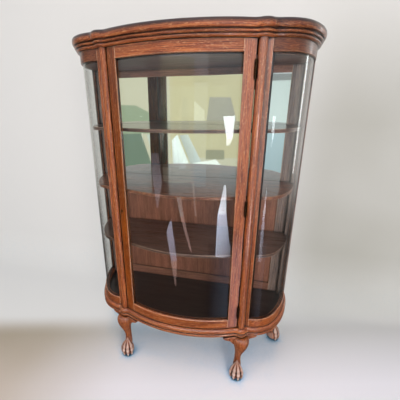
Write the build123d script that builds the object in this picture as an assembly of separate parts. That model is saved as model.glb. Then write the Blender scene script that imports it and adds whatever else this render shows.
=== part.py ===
from build123d import *
import math
import os

# China cabinet with one bowed glass door between half-round columns, bent glass sides,
# a mirrored back, three wooden shelves and cabriole legs with ball-and-claw feet.
# Millimetres. X to the right, +Y to the back, +Z up. The origin is on the floor, in the
# middle of the width and depth. The door is hinged on the right.

# ---- Overall size
height = 1575.0            # floor to the top of the cornice
depth = 413.0              # front of the cornice to the back of the frame
overhang = 26.0            # cornice beyond the faces of the door and side rails

# ---- Plan of the case: a bow in front, two curves to each side
bow_radius = 684.0         # face of the door
column_x = 301.0           # middle of each half-round column
column_radius = 17.0
post_outer_x = 335.0       # where the side glass starts
post_depth = 26.0
half_width = 521.0         # outside of the rear posts
side_step = 8.0            # side faces behind the middle of each column
side_bulge = 45.0          # rear curve of each side beyond its tight front curve
corner_x = 331.0           # where the front corner curve starts
rear_post_width = 36.0
rear_post_depth = 46.0
back_thickness = 18.0
cornice_blend = 62.0       # hollow of the cornice beside each column
base_blend = 34.0          # the same of the base moulding, tighter

# ---- Heights, from the floor up
base_bottom = 248.0
base_height = 48.0         # posts and rails stand on top of it
floor_thickness = 12.0
cornice_height = 54.0
ceiling_drop = 47.0        # underside of the ceiling board below the cornice
ceiling_thickness = 13.0
side_rail_height = 44.0
side_frieze_height = 43.0
top_board_thickness = 12.0

# ---- Mouldings
moulding_inset = 15.0      # how far the mouldings reach in behind the faces
base_reach = 13.5          # base moulding beyond the faces
base_frame_width = 45.0

# ---- Door
door_gap = 2.0             # above and below the door
door_side_gap = 3.0        # between the door and each post
door_thickness = 22.0
stile_width = 41.5
door_top_rail_height = 41.0
door_bottom_rail_height = 45.0
glass_thickness = 3.0
rebate = 8.0               # how far the glass lies behind the wood
door_lip = 12.0            # wood in front of the door glass
edge_chamfer = 2.5         # round the door's opening and along the side rails

# ---- Side glass
side_lip = 8.0             # wood outside the side glass
rail_thickness = 22.0
stop_thickness = 6.0
stop_width = 8.0

# ---- Back
back_stile_width = 48.0
back_top_rail_height = 80.0
middle_rail_height = 60.0
bottom_rail_height = 60.0
back_lip = 6.0
mirror_thickness = 4.0
backing_thickness = 4.0
panel_thickness = 7.0

# ---- Shelves
shelf_tops = {"lower_shelf": 675.0, "middle_shelf": 948.0, "upper_shelf": 1218.0}
shelf_thickness = 14.0
shelf_chamfer = 2.0
shelf_door_inset = 32.0    # shelf edge behind the door face
shelf_side_inset = 23.0    # shelf edge inside the side rail faces
pin_radius = 3.0
pin_reach = 14.0
pin_sink = 9.0
pin_sides = 8

# ---- Legs, drawn from the ankle line. The knee stands outwards, the foot faces -Y.
front_leg_inset = 4.5      # ankle inside the middle of the column
rear_leg_inset = 50.0      # ankle inside the outer width
rear_leg_from_back = 37.5
# share of the leg's height, then how far the outline stands outwards and inwards
leg_front_view = ((1.0, 46.0, 26.0), (0.91, 53.0, 30.0), (0.7, 36.0, 18.0), (0.53, 18.0, 15.0),
                  (0.42, 15.5, 15.5), (0.31, 18.0, 18.0), (0.2, 26.0, 26.0))
leg_side_view = ((1.0, 38.0, 27.0), (0.91, 45.0, 30.0), (0.7, 33.0, 18.0), (0.53, 18.0, 15.0),
                 (0.42, 15.5, 15.5), (0.31, 22.0, 15.0), (0.2, 40.0, 9.0))
corner_fullness = 1.08     # corners of the leg against a true round
ball_radius = 33.0
ball_reach = 20.0          # ball in front of the ankle
ball_sink = 2.0            # flat under the ball
ball_sides = 16
toe_turns = (-60, -20, 20, 60)
# outlines of the toes from the middle of the ball, in ball radii: out, up
toe_side = ((0.06, 2.65), (0.62, 2.32), (0.92, 1.72), (1.15, 1.27), (1.06, 0.73), (1.02, 0.3),
            (0.82, 0.0))
toe_root = ((0.55, 0.0), (-0.12, 2.1))
heel_side = ((0.9, 2.75), (1.14, 2.1), (1.04, 1.6), (1.2, 1.12), (1.06, 0.7), (1.02, 0.3),
             (0.82, 0.0))
heel_root = ((0.5, 0.0), (0.3, 2.3))
toe_halves = ((2.75, 0.15), (1.8, 0.25), (1.5, 0.19), (1.2, 0.24), (0.7, 0.17), (0.0, 0.08))
ear_length = 84.0          # brackets beside the knee, from the ankle line
ear_drop = 46.0
ear_tip = 6.0
ear_root = 34.0
ear_thickness = 22.0
ear_reach = 10.0           # ears beyond the faces of the case
bow_ear_turn = 206.0       # degrees, along the bow
corner_ear_turn = 8.0      # degrees, along the front corner
rear_ear_turn = -100.0     # degrees, along the rear curve

# ---- Door hinges and lock
hinge_length = 60.0
hinge_from_bottom = 86.0   # middle of the low hinge above the foot of the door
hinge_from_top = 96.0      # middle of the high hinge below the top of the door
knuckle_radius = 3.0
hinge_pin_radius = 1.4
pin_tip = 3.0
leaf_thickness = 1.5
leaf_reach = 19.0
pin_clearance = 0.05
lock_z = 850.0
lock_case_size = (18.0, 7.0, 50.0)
bolt_size = (16.0, 5.0, 14.0)
bolt_throw = 7.0
slide_clearance = 0.3
screw_head_radius = 3.0
shield_halves = (5.0, 9.0)  # key hole plate
key_radius = 2.2
key_slot = 2.0
key_drop = 8.0
screw_radius = 1.5
screw_length = 12.0
screw_sides = 6

# ---- Clearances
fit = 0.3                  # between curved neighbours
groove_play = 0.3          # round the glass in its grooves
deep = 4000.0              # reach of a cutting box

# ---- Values that follow from the sizes above
back_y = depth / 2
inner_back_y = back_y - back_thickness
bow_centre_y = overhang - depth / 2 + bow_radius
deck = base_bottom + base_height
case_top = height - cornice_height
ceiling = case_top - ceiling_drop
mirror_bottom = shelf_tops["middle_shelf"]
mirror_top = case_top - back_top_rail_height


def bow_y(x, inset=0.0):
    """Y of the door's bow, a distance behind its face, at x."""
    return bow_centre_y - math.sqrt((bow_radius - inset) ** 2 - x ** 2)


column_y = bow_y(column_x)

# The rear curve of each side runs straight back at the rear post and meets the corner curve
# without a kink.
side_front_y = column_y + side_step
corner_radius = half_width - corner_x - side_bulge
corner_centre_y = side_front_y + corner_radius
corner_reach = half_width - corner_x
corner_depth = inner_back_y - corner_centre_y
side_radius = ((corner_reach ** 2 + corner_depth ** 2 - corner_radius ** 2)
               / (2 * (corner_reach - corner_radius)))
side_centre = (half_width - side_radius, inner_back_y)
turn = math.degrees(math.asin(corner_depth / (side_radius - corner_radius)))

post_inner_x = column_x - column_radius
post_back_y = side_front_y + post_depth
rear_post_x = half_width - rear_post_width
rear_post_y = back_y - rear_post_depth
door_half = post_inner_x - door_side_gap
door_bottom = deck + door_gap
door_top = case_top - door_gap
opening_half = door_half - stile_width
opening_bottom = door_bottom + door_bottom_rail_height
opening_top = door_top - door_top_rail_height
hinge_heights = (door_bottom + hinge_from_bottom,
                 (door_bottom + hinge_from_bottom + door_top - hinge_from_top) / 2,
                 door_top - hinge_from_top)


# ---- Small helpers

def block(x0, x1, y0, y1, z0, z1):
    """A box between two corners."""
    return Pos((x0 + x1) / 2, (y0 + y1) / 2, (z0 + z1) / 2) * Box(x1 - x0, y1 - y0, z1 - z0)


def patch(x0, x1, y0, y1):
    """A flat rectangle between two corners."""
    return Pos((x0 + x1) / 2, (y0 + y1) / 2) * Rectangle(x1 - x0, y1 - y0)


def rise(face, z0, z1):
    """A flat outline given height."""
    return Pos(0, 0, z0) * extrude(face, z1 - z0, dir=(0, 0, 1))


def flip(shape):
    """The same shape on the other side of the cabinet."""
    return mirror(shape, about=Plane.YZ)


def write(node, shape):
    """Save one named piece."""
    export_step(shape, f"parts/{node}.step")


# ---- Plan outlines

def bow_region(inset, half):
    """Everything behind the bow and within half a width."""
    disk = Pos(0, bow_centre_y) * Circle(bow_radius - inset)
    return disk & patch(-half, half, -deep, back_y)


def side_region(inset):
    """Plan of the right side, a distance inside the faces of its rails."""
    outer_x = half_width - inset
    outline = Polyline((outer_x, inner_back_y), (outer_x, back_y), (0, back_y),
                       (0, side_front_y + inset), (corner_x, side_front_y + inset))
    front = CenterArc((corner_x, corner_centre_y), corner_radius - inset, -90, 90 - turn)
    rear = CenterArc(side_centre, side_radius - inset, -turn, turn)
    return make_face(outline.edges() + front.edges() + rear.edges()) & patch(
        column_x, deep, -deep, deep)


def side_band(outer, inner, x0=post_outer_x, y1=rear_post_y):
    """Curved strip of the right side between two insets, from a post to the back."""
    return (side_region(outer) - side_region(inner)) & patch(x0, deep, -deep, y1)


def bow_band(outer, inner, half):
    """Curved strip that follows the door between two insets."""
    return bow_region(outer, half) - Pos(0, bow_centre_y) * Circle(bow_radius - inner)


def board(door_inset, side_inset):
    """Plan of a shelf or deck inside the case, notched round the posts."""
    side = side_region(side_inset)
    plan = bow_region(door_inset, column_x) + side + flip(side)
    for sign in (-1, 1):
        x0, x1 = sorted((sign * (post_inner_x - fit), sign * (post_outer_x + fit)))
        plan -= patch(x0, x1, -deep, post_back_y + fit)
        x0, x1 = sorted((sign * (rear_post_x - fit), sign * deep))
        plan -= patch(x0, x1, rear_post_y - fit, deep)
    return plan & patch(-deep, deep, -deep, inner_back_y - fit)


def meeting(centre_a, radius_a, centre_b, radius_b):
    """Both points that lie at the two given distances from two centres."""
    a, b = Vector(*centre_a), Vector(*centre_b)
    apart = (b - a).length
    along = (radius_a ** 2 - radius_b ** 2 + apart ** 2) / (2 * apart)
    across = math.sqrt(radius_a ** 2 - along ** 2)
    direction = (b - a).normalized()
    base = a + direction * along
    sideways = Vector(-direction.Y, direction.X) * across
    return base + sideways, base - sideways


def bend(centre, start, end):
    """The arc round a centre from one point to another, the short way."""
    centre, start, end = Vector(centre), Vector(start), Vector(end)
    middle = centre + ((start + end) / 2 - centre).normalized() * (start - centre).length
    return ThreePointArc(start, middle, end)


def face_line(blend):
    """Line of the door, column and side faces as one smooth open wire, right to left."""
    column = Vector(column_x, column_y)
    corner = Vector(corner_x, corner_centre_y)
    bow = Vector(0, bow_centre_y)
    around_column = column_radius + blend
    outer = max(meeting(corner, corner_radius + blend, column, around_column),
                key=lambda point: point.X)
    inner = min(meeting(bow, bow_radius + blend, column, around_column),
                key=lambda point: point.X)

    def touch(centre, radius, hollow):
        return centre + (hollow - centre).normalized() * radius

    back = Vector(half_width, back_y)
    spring = Vector(half_width, inner_back_y)
    turn_point = Vector(*side_centre) + Vector(side_radius, 0).rotate(Axis.Z, -turn)
    leaves_corner = touch(corner, corner_radius, outer)
    meets_column = touch(column, column_radius, outer)
    leaves_column = touch(column, column_radius, inner)
    meets_bow = touch(bow, bow_radius, inner)
    right = [
        Line(back, spring),
        bend(side_centre, spring, turn_point),
        bend(corner, turn_point, leaves_corner),
        bend(outer, leaves_corner, meets_column),
        bend(column, meets_column, leaves_column),
        bend(inner, leaves_column, meets_bow),
    ]
    across = bend(bow, meets_bow, Vector(-meets_bow.X, meets_bow.Y))
    return Wire(Curve() + right + [across] + [flip(piece) for piece in right])


def face_plan(blend):
    """The whole plan inside the face line."""
    line = face_line(blend)
    return make_face(line.edges() + [Edge.make_line(line @ 1, line @ 0)])


def run_moulding(profile, blend):
    """Carry a moulding profile round the face line. Profile x is outwards, y is height."""
    path = face_line(blend)
    start = path @ 0
    outwards = 1 if start.X > 0 else -1
    plane = Plane(origin=(start.X, start.Y, 0), x_dir=(outwards, 0, 0), z_dir=(0, -outwards, 0))
    return sweep(plane * profile, path=path)


def split_moulding(name, ring):
    """Cut a moulding into its front and two side lengths and save them."""
    write(f"{name}_front", ring & block(-post_outer_x, post_outer_x, -deep, deep, 0, deep))
    right = ring & block(post_outer_x, deep, -deep, deep, 0, deep)
    write(f"{name}_right", right)
    write(f"{name}_left", flip(right))


# ---- Cornice and top

def cornice_profile():
    """A small bead, a larger one and the rounded band, with a ledge for the top board."""
    inner = -moulding_inset
    ledge = height - top_board_thickness
    outline = Polyline(
        (inner, case_top), (overhang - 22, case_top), (overhang - 19, case_top + 2),
        (overhang - 15, case_top + 3.5), (overhang - 14, case_top + 6.5),
        (overhang - 15, case_top + 9.5), (overhang - 18, case_top + 10.5),
        (overhang - 18, case_top + 12.5), (overhang - 14, case_top + 12.5),
        (overhang - 9, case_top + 14.5), (overhang - 7.5, case_top + 18),
        (overhang - 9, case_top + 21), (overhang - 13, case_top + 22.5),
        (overhang - 13, case_top + 25), (overhang - 8, case_top + 25),
        (overhang - 3, case_top + 27), (overhang - 0.5, case_top + 32),
        (overhang, case_top + 39), (overhang - 1.5, height - 7), (overhang - 5, height - 2),
        (overhang - 9, height), (inner / 3, height), (inner / 3, ledge), (inner, ledge), close=True)
    return make_face(outline)


def make_cornice():
    """The moulding in three lengths, the rail behind it and the board on top."""
    ring = run_moulding(cornice_profile(), cornice_blend)
    split_moulding("cornice", ring)
    inner = moulding_inset + fit
    ledge = height - top_board_thickness
    write("cornice_back_rail", block(-half_width + inner, half_width - inner,
                                     inner_back_y, back_y, case_top, ledge))
    lid = rise(face_plan(cornice_blend), ledge, height)
    rim_width = moulding_inset / 3 + fit
    rim = Pos(-rim_width / 2 + 1, height) * Rectangle(rim_width + 2, 3 * top_board_thickness)
    write("top_board", lid - run_moulding(rim, cornice_blend))


# ---- Base

def base_profile():
    """Two beads with a quirk between them over a small cove."""
    inner = -moulding_inset
    middle = (base_bottom + deck) / 2
    outline = Polyline(
        (inner, base_bottom), (base_reach - 10, base_bottom), (base_reach - 8.5, base_bottom + 6),
        (base_reach - 4, base_bottom + 8), (base_reach - 1, base_bottom + 11),
        (base_reach - 0.5, base_bottom + 15), (base_reach - 2.5, middle - 4),
        (base_reach - 6, middle - 2.5), (base_reach - 6, middle),
        (base_reach - 3, middle + 1), (base_reach - 0.5, middle + 5), (base_reach, middle + 11),
        (base_reach - 2, deck - 6), (base_reach - 6, deck - 2), (base_reach - 11, deck),
        (inner, deck), close=True)
    return make_face(outline)


def make_base():
    """Base moulding, the frame behind it and the floor board."""
    split_moulding("base_moulding", run_moulding(base_profile(), base_blend))
    outer = moulding_inset + fit
    inner = outer + base_frame_width
    side_out = side_region(outer)
    side_in = side_region(inner)
    outline = bow_region(outer, column_x) + side_out + flip(side_out)
    hollow = bow_region(inner, column_x) + side_in + flip(side_in)
    hollow &= patch(-deep, deep, -deep, back_y - base_frame_width)
    write("base_frame", rise(outline - hollow, base_bottom, deck))
    write("bottom_board", rise(board(door_thickness + door_gap, rail_thickness + fit),
                               deck, deck + floor_thickness))


# ---- Posts

def glass_groove(height_range):
    """Space that the right side glass takes in the posts, with play all round."""
    z0, z1 = height_range
    strip = side_band(side_lip - groove_play, side_lip + glass_thickness + groove_play,
                      post_outer_x - rebate, rear_post_y + rebate)
    return rise(strip, z0, z1)


side_glass_low = deck + side_rail_height - rebate
side_glass_high = case_top - side_frieze_height + rebate


def make_posts():
    """Front posts with their half-round columns, and the rear corner posts."""
    plan = patch(post_inner_x, post_outer_x, side_front_y, post_back_y)
    plan += patch(post_inner_x, column_x + column_radius, column_y, post_back_y)
    plan += Pos(column_x, column_y) * Circle(column_radius)
    groove = glass_groove((deck, case_top))
    post = rise(plan, deck, case_top) - groove
    for pin in shelf_pin_shapes(column_x, post_back_y, 1):
        post -= pin
    left_post = flip(post)
    for cutter in hinge_case_pockets():
        post -= cutter
    write("right_front_post", post)
    write("left_front_post", left_post - strike_pocket())

    rear_plan = side_region(0) & patch(rear_post_x, deep, rear_post_y, deep)
    rear = rise(rear_plan, deck, case_top) - groove
    write("right_rear_post", rear)
    write("left_rear_post", flip(rear))


# ---- Bent sides

def soften(rail, z):
    """Chamfer the edge of a side rail that lies on its outer face at a height."""
    edges = []
    for edge in rail.edges():
        middle = edge @ 0.5
        flat = Vector(middle.X, middle.Y)
        from_corner = (flat - Vector(corner_x, corner_centre_y)).length - corner_radius
        from_side = (flat - Vector(*side_centre)).length - side_radius
        on_face = min(abs(from_corner), abs(from_side)) < 0.01
        if on_face and abs(middle.Z - z) < 0.01 and abs((edge @ 0).Z - z) < 0.01:
            edges.append(edge)
    return chamfer(edges, edge_chamfer)


def make_sides():
    """Curved rails, bent glass and the stops that hold it."""
    rail_plan = side_band(0, rail_thickness)
    behind_lip = rise(side_band(side_lip - groove_play, rail_thickness + 1),
                      side_glass_low, side_glass_high)
    rail_top = deck + side_rail_height
    frieze_foot = case_top - side_frieze_height
    low_rail = soften(rise(rail_plan, deck, rail_top), rail_top) - behind_lip
    top_rail = soften(rise(rail_plan, frieze_foot, case_top), frieze_foot) - behind_lip

    glass_plan = side_band(side_lip, side_lip + glass_thickness,
                           post_outer_x - rebate + fit, rear_post_y + rebate - fit)
    glass = rise(glass_plan, side_glass_low + fit, side_glass_high - fit)

    stop_outer = side_lip + glass_thickness + fit
    stop_inner = stop_outer + stop_thickness
    strip = side_band(stop_outer, stop_inner, post_outer_x + fit, rear_post_y - fit)
    low = side_glass_low + fit
    high = side_glass_high - fit
    front_upright = strip & patch(0, post_outer_x + stop_width, -deep, deep)
    rear_upright = strip & patch(0, deep, rear_post_y - stop_width, deep)
    stops = [
        rise(strip, low, low + stop_width),
        rise(strip, high - stop_width, high),
        rise(front_upright, low + stop_width, high - stop_width),
        rise(rear_upright, low + stop_width, high - stop_width),
    ]
    stops = Compound(children=stops)
    for side, turned in (("right", lambda shape: shape), ("left", flip)):
        write(f"{side}_side_bottom_rail", turned(low_rail))
        write(f"{side}_side_top_rail", turned(top_rail))
        write(f"{side}_side_glass", turned(glass))
        write(f"{side}_glass_stops", turned(stops))


# ---- Back

def make_back():
    """Stiles and rails, the mirror with its backing, and the panel below."""
    stile_inner = rear_post_x - back_stile_width
    rails = {
        "back_top_rail": (mirror_top, case_top),
        "back_middle_rail": (mirror_bottom - middle_rail_height, mirror_bottom),
        "back_bottom_rail": (deck, deck + bottom_rail_height),
    }
    frame_plan = patch(-stile_inner, stile_inner, inner_back_y, back_y)
    mirror_space = (mirror_bottom - rebate, mirror_top + rebate)
    panel_space = (rails["back_bottom_rail"][1] - rebate, rails["back_middle_rail"][0] + rebate)
    seats = []
    for z0, z1 in (mirror_space, panel_space):
        seats.append(block(-stile_inner - rebate, stile_inner + rebate,
                           inner_back_y + back_lip, back_y, z0, z1))
    for name, (z0, z1) in rails.items():
        rail = rise(frame_plan, z0, z1)
        for seat in seats:
            rail -= seat
        write(name, rail)

    stile = block(stile_inner, rear_post_x, inner_back_y, back_y, deck, case_top)
    for seat in seats:
        stile -= seat
    for pin in shelf_pin_shapes(stile_inner + back_stile_width / 2, inner_back_y, -1):
        stile -= pin
    write("back_right_stile", stile)
    write("back_left_stile", flip(stile))

    half = stile_inner + rebate - fit
    y0 = inner_back_y + back_lip
    y1 = y0 + mirror_thickness
    low, high = mirror_space[0] + fit, mirror_space[1] - fit
    write("mirror", block(-half, half, y0, y1, low, high))
    write("mirror_backing", block(-half, half, y1, y1 + backing_thickness, low, high))
    low, high = panel_space[0] + fit, panel_space[1] - fit
    write("lower_back_panel", block(-half, half, y0, y0 + panel_thickness, low, high))


# ---- Shelves and inner boards

def shelf_pin_shapes(x, seat_y, direction):
    """Pins under each shelf, standing out of a face at seat_y."""
    pins = []
    length = pin_reach + pin_sink
    for top in shelf_tops.values():
        z = top - shelf_thickness - pin_radius
        middle = seat_y + direction * (pin_reach - pin_sink) / 2
        pin = extrude(Plane.XZ * RegularPolygon(pin_radius, pin_sides), length / 2, both=True)
        pins.append(Pos(x, middle, z) * pin)
    return pins


def make_inside():
    """Ceiling board, the bowed rail above it, shelves and their pins."""
    stop_inset = door_thickness + door_gap
    ceiling_top = ceiling + ceiling_thickness
    write("ceiling_board", rise(board(stop_inset, rail_thickness + fit), ceiling, ceiling_top))
    write("front_top_rail", rise(bow_band(stop_inset, stop_inset + 20, post_inner_x),
                                 ceiling_top, case_top))
    plan = board(shelf_door_inset, shelf_side_inset)
    for name, top in shelf_tops.items():
        shelf = rise(plan, top - shelf_thickness, top)
        rims = [edge for edge in shelf.edges()
                if abs((edge @ 0.5).Y - bow_y((edge @ 0.5).X, shelf_door_inset)) < 0.01
                and abs((edge @ 0).Z - (edge @ 1).Z) < 0.01]
        write(name, chamfer(rims, shelf_chamfer))
    pins = shelf_pin_shapes(column_x, post_back_y, 1)
    pins += shelf_pin_shapes(rear_post_x - back_stile_width / 2, inner_back_y, -1)
    pins += [flip(pin) for pin in pins]
    write("shelf_pins", Compound(children=pins))


# ---- Legs

def curved(points):
    """Arcs through each three of a row of points."""
    return [ThreePointArc(*points[start:start + 3]) for start in range(0, len(points) - 2, 2)]


def sawn(view, angle):
    """A leg outline cut through the blank. Outwards lies at an angle from +X."""
    outer = [(outwards, share * base_bottom) for share, outwards, _ in view]
    inner = [(-inwards, share * base_bottom) for share, _, inwards in reversed(view)]
    edges = curved(outer) + [Line(outer[-1], inner[0])] + curved(inner) + [Line(inner[-1], outer[0])]
    slab = extrude(Plane.XZ * make_face(Curve() + edges), base_bottom, both=True)
    return Rot(0, 0, angle) * slab


def across_corners(sign):
    """Outline over one diagonal of the leg that takes its corners off."""
    rows = []
    for (share, out_x, in_x), (_, out_y, in_y) in zip(leg_front_view, leg_side_view):
        middle = (out_x - in_x + sign * (out_y - in_y)) / math.sqrt(8)
        half = corner_fullness * math.hypot(out_x + in_x, out_y + in_y) / math.sqrt(8)
        rows.append((share, half + middle, half - middle))
    return rows


def toe(side, root, angle):
    """One toe against the ball with its knuckles and claw, cut from two sides."""
    def grow(points):
        return [(ball_radius * out, ball_radius * up) for out, up in points]

    outer, inner = grow(side), grow(root)
    edges = curved(outer) + [Line(outer[-1], inner[0]), Line(inner[0], inner[1]),
                             Line(inner[1], outer[0])]
    shape = extrude(Plane.XZ * make_face(Curve() + edges), ball_radius, both=True)
    right = grow([(half, up) for up, half in toe_halves])
    left = [(-half, up) for half, up in reversed(right)]
    front = make_face(Polyline(*right, *left, close=True))
    return Rot(0, 0, angle) * (shape & extrude(Plane.YZ * front, 2 * ball_radius))


def make_foot():
    """Ball cut round from several sides, four toes in front and one behind."""
    disk = RegularPolygon(ball_radius, ball_sides)
    ball = extrude(disk, ball_radius, both=True)
    for angle in (0, 45, 90, 135):
        ball &= Rot(0, 0, angle) * extrude(Plane.XZ * disk, 2 * ball_radius, both=True)
    foot = Pos(0, 0, ball_radius - ball_sink) * ball
    for turned in toe_turns:
        foot += toe(toe_side, toe_root, turned - 90)
    return foot + toe(heel_side, heel_root, 90)


def make_leg():
    """Cabriole leg, sawn from two faces and over both diagonals, on its ball-and-claw foot."""
    leg = sawn(leg_front_view, 0) & sawn(leg_side_view, -90)
    leg &= sawn(across_corners(1), -45)
    leg &= sawn(across_corners(-1), 45)
    leg += Pos(0, -ball_reach, 0) * make_foot()
    return leg & block(-deep, deep, -deep, deep, 0, base_bottom)


def ear(x, y, angle):
    """Bracket under the base that runs from the knee in one direction."""
    foot = base_bottom - ear_drop
    tip = (ear_length, base_bottom - ear_tip)
    hollow = ((ear_root + ear_length) / 2, base_bottom - ear_drop * 0.4)
    edges = [Line((0, base_bottom), (ear_length, base_bottom)),
             Line((ear_length, base_bottom), tip),
             ThreePointArc(tip, hollow, (ear_root, foot)),
             Line((ear_root, foot), (0, foot)),
             Line((0, foot), (0, base_bottom))]
    bracket = extrude(Plane.XZ * make_face(Curve() + edges), ear_thickness / 2, both=True)
    return Pos(x, y) * Rot(0, 0, angle) * bracket


def make_legs():
    """Four legs. The front feet face forwards, the rear feet to the sides."""
    leg = make_leg()
    inset = ear_thickness / 2 - ear_reach
    x = column_x - front_leg_inset
    front = Pos(x, column_y) * leg
    front += ear(x, bow_y(x) + inset, bow_ear_turn)
    front += ear(x, side_front_y + inset, corner_ear_turn)
    y = back_y - rear_leg_from_back
    rear = Pos(half_width - rear_leg_inset, y) * Rot(0, 0, 90) * flip(leg)
    rear += ear(half_width - inset, y, rear_ear_turn)
    for name, right in (("front", front), ("rear", rear)):
        write(f"{name}_right_leg", right)
        write(f"{name}_left_leg", flip(right))


# ---- Door

def door_frame():
    """Bowed frame in one piece, with the glass rebate and a chamfer round the opening."""
    frame = rise(bow_band(0, door_thickness, door_half), door_bottom, door_top)
    frame -= block(-opening_half, opening_half, -deep, deep, opening_bottom, opening_top)
    rims = []
    for edge in frame.edges():
        middle = edge @ 0.5
        on_face = abs(middle.Y - bow_y(middle.X)) < 0.01
        inside = abs(middle.X) < opening_half + 1 and opening_bottom - 1 < middle.Z < opening_top + 1
        if on_face and inside:
            rims.append(edge)
    frame = chamfer(rims, edge_chamfer)
    seat = bow_band(door_lip, door_thickness + 1, opening_half + rebate)
    return frame - rise(seat, opening_bottom - rebate, opening_top + rebate)


def make_door():
    """Stiles, rails, bent glass and stops."""
    frame = door_frame()
    hinge_stile = frame & block(opening_half, deep, -deep, deep, 0, deep)
    for cutter in hinge_door_pockets():
        hinge_stile -= cutter
    lock_stile = frame & block(-deep, -opening_half, -deep, deep, 0, deep)
    lock_stile -= lock_pocket()
    write("door_hinge_stile", hinge_stile)
    write("door_lock_stile", lock_stile)
    middle = frame & block(-opening_half, opening_half, -deep, deep, 0, deep)
    halfway = (door_top + door_bottom) / 2
    write("door_top_rail", middle & block(-deep, deep, -deep, deep, halfway, deep))
    write("door_bottom_rail", middle & block(-deep, deep, -deep, deep, 0, halfway))

    half = opening_half + rebate - fit
    low = opening_bottom - rebate + fit
    high = opening_top + rebate - fit
    inner_glass = door_lip + fit + glass_thickness
    write("door_glass", rise(bow_band(door_lip + fit, inner_glass, half), low, high))

    band = bow_band(inner_glass + fit, door_thickness - fit, half)
    bar = patch(half - rebate + 1, deep, -deep, deep)
    upright = band & bar
    stops = [
        rise(band, low, low + rebate - 1),
        rise(band, high - rebate + 1, high),
        rise(upright, low + rebate - 1, high - rebate + 1),
        rise(flip(upright), low + rebate - 1, high - rebate + 1),
    ]
    write("door_glass_stops", Compound(children=stops))


# ---- Hinges

hinge_x = (door_half + post_inner_x) / 2
hinge_y = bow_y(door_half) - 5.0


def leaf_screws(side, z):
    """Three countersunk screws through one leaf. side is +1 into the post, -1 into the door."""
    face_x = post_inner_x if side > 0 else door_half
    screws = []
    for step in (-1, 0, 1):
        place = Pos(face_x, hinge_y + leaf_reach, z + step * hinge_length * 0.34) * Rot(0, 90 * side, 0)
        neck = RegularPolygon(screw_radius, screw_sides)
        head = loft([RegularPolygon(screw_head_radius, screw_sides), Pos(0, 0, leaf_thickness) * neck],
                    ruled=True)
        shank = Pos(0, 0, leaf_thickness) * extrude(neck, screw_length)
        screws.append(place * (head + shank))
    return screws


def leaf_plate(side, z):
    """One flat leaf let into the wood, from the knuckle line back."""
    x0, x1 = (post_inner_x, post_inner_x + leaf_thickness)
    if side < 0:
        x0, x1 = (door_half - leaf_thickness, door_half)
    half = hinge_length / 2
    return block(x0, x1, hinge_y, hinge_y + leaf_reach + 5, z - half, z + half)


def knuckle(z0, z1):
    """A length of hinge barrel without its bore."""
    return Pos(hinge_x, hinge_y, (z0 + z1) / 2) * Cylinder(knuckle_radius, z1 - z0)


def hinge_leaf(side, z):
    """A leaf with its own knuckles: the post carries the outer two, the door the middle one."""
    third = hinge_length / 6
    half = hinge_length / 2
    leaf = leaf_plate(side, z)
    gap = slide_clearance / 2
    outer = [(z - half, z - third - gap), (z + third + gap, z + half)]
    inner = [(z - third + gap, z + third - gap)]
    own, other = (outer, inner) if side > 0 else (inner, outer)
    for z0, z1 in other:
        leaf -= block(hinge_x - 8, hinge_x + 8, hinge_y - 8, hinge_y + knuckle_radius + 1,
                      z0 - 2 * gap, z1 + 2 * gap)
    for z0, z1 in own:
        leaf += knuckle(z0, z1)
    leaf -= Pos(hinge_x, hinge_y, z) * Cylinder(hinge_pin_radius + pin_clearance, hinge_length + 2)
    for screw in leaf_screws(side, z):
        leaf -= screw
    return leaf


def hinge_case_pockets():
    """Cuts in the right post for the hinge leaves and screws."""
    cutters = []
    for z in hinge_heights:
        cutters.append(leaf_plate(1, z))
        cutters += leaf_screws(1, z)
    return cutters


def hinge_door_pockets():
    """Cuts in the door stile for the hinge leaves and screws."""
    cutters = []
    for z in hinge_heights:
        cutters.append(leaf_plate(-1, z))
        cutters += leaf_screws(-1, z)
    return cutters


def make_hinges():
    """Leaves, headed pins and screws."""
    write("case_hinge_leaves", Compound(children=[hinge_leaf(1, z) for z in hinge_heights]))
    write("door_hinge_leaves", Compound(children=[hinge_leaf(-1, z) for z in hinge_heights]))
    pins = []
    for z in hinge_heights:
        pin = Pos(hinge_x, hinge_y, z) * Cylinder(hinge_pin_radius, hinge_length)
        for end in (-1, 1):
            tip_z = z + end * (hinge_length + pin_tip) / 2
            pin += Pos(hinge_x, hinge_y, tip_z) * Cylinder(knuckle_radius - 0.3, pin_tip)
        pins.append(pin)
    write("hinge_pins", Compound(children=pins))
    for side, name in ((1, "case_hinge_screws"), (-1, "door_hinge_screws")):
        screws = [screw for z in hinge_heights for screw in leaf_screws(side, z)]
        write(name, Compound(children=screws))


# ---- Lock

lock_y = bow_y(door_half) + 11.5
key_x = -door_half + 12.0


def lock_pocket():
    """Mortise in the lock stile, its face plate seat and the key hole."""
    length, thick, tall = lock_case_size
    pocket = block(-door_half, -door_half + length, lock_y - thick / 2, lock_y + thick / 2,
                   lock_z - tall / 2, lock_z + tall / 2)
    return pocket + key_hole()


def key_hole():
    """Round and slot of the key hole, from the face into the lock."""
    reach = lock_y - bow_y(key_x) + 2 * rebate
    tube = extrude(Plane.XZ * Circle(key_radius), reach)
    tube = Pos(key_x, lock_y, lock_z) * tube
    slot = block(key_x - key_slot / 2, key_x + key_slot / 2, lock_y - reach, lock_y,
                 lock_z - key_drop, lock_z)
    return tube + slot


def strike_pocket():
    """Seat of the strike plate and the mortise for the bolt, in the left post."""
    _, thick, tall = bolt_size
    hole = block(-post_inner_x - bolt_throw - 3, -post_inner_x + 1,
                 lock_y - thick / 2 - slide_clearance, lock_y + thick / 2 + slide_clearance,
                 lock_z - tall / 2 - slide_clearance, lock_z + tall / 2 + slide_clearance)
    return hole + strike_blank()


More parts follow.
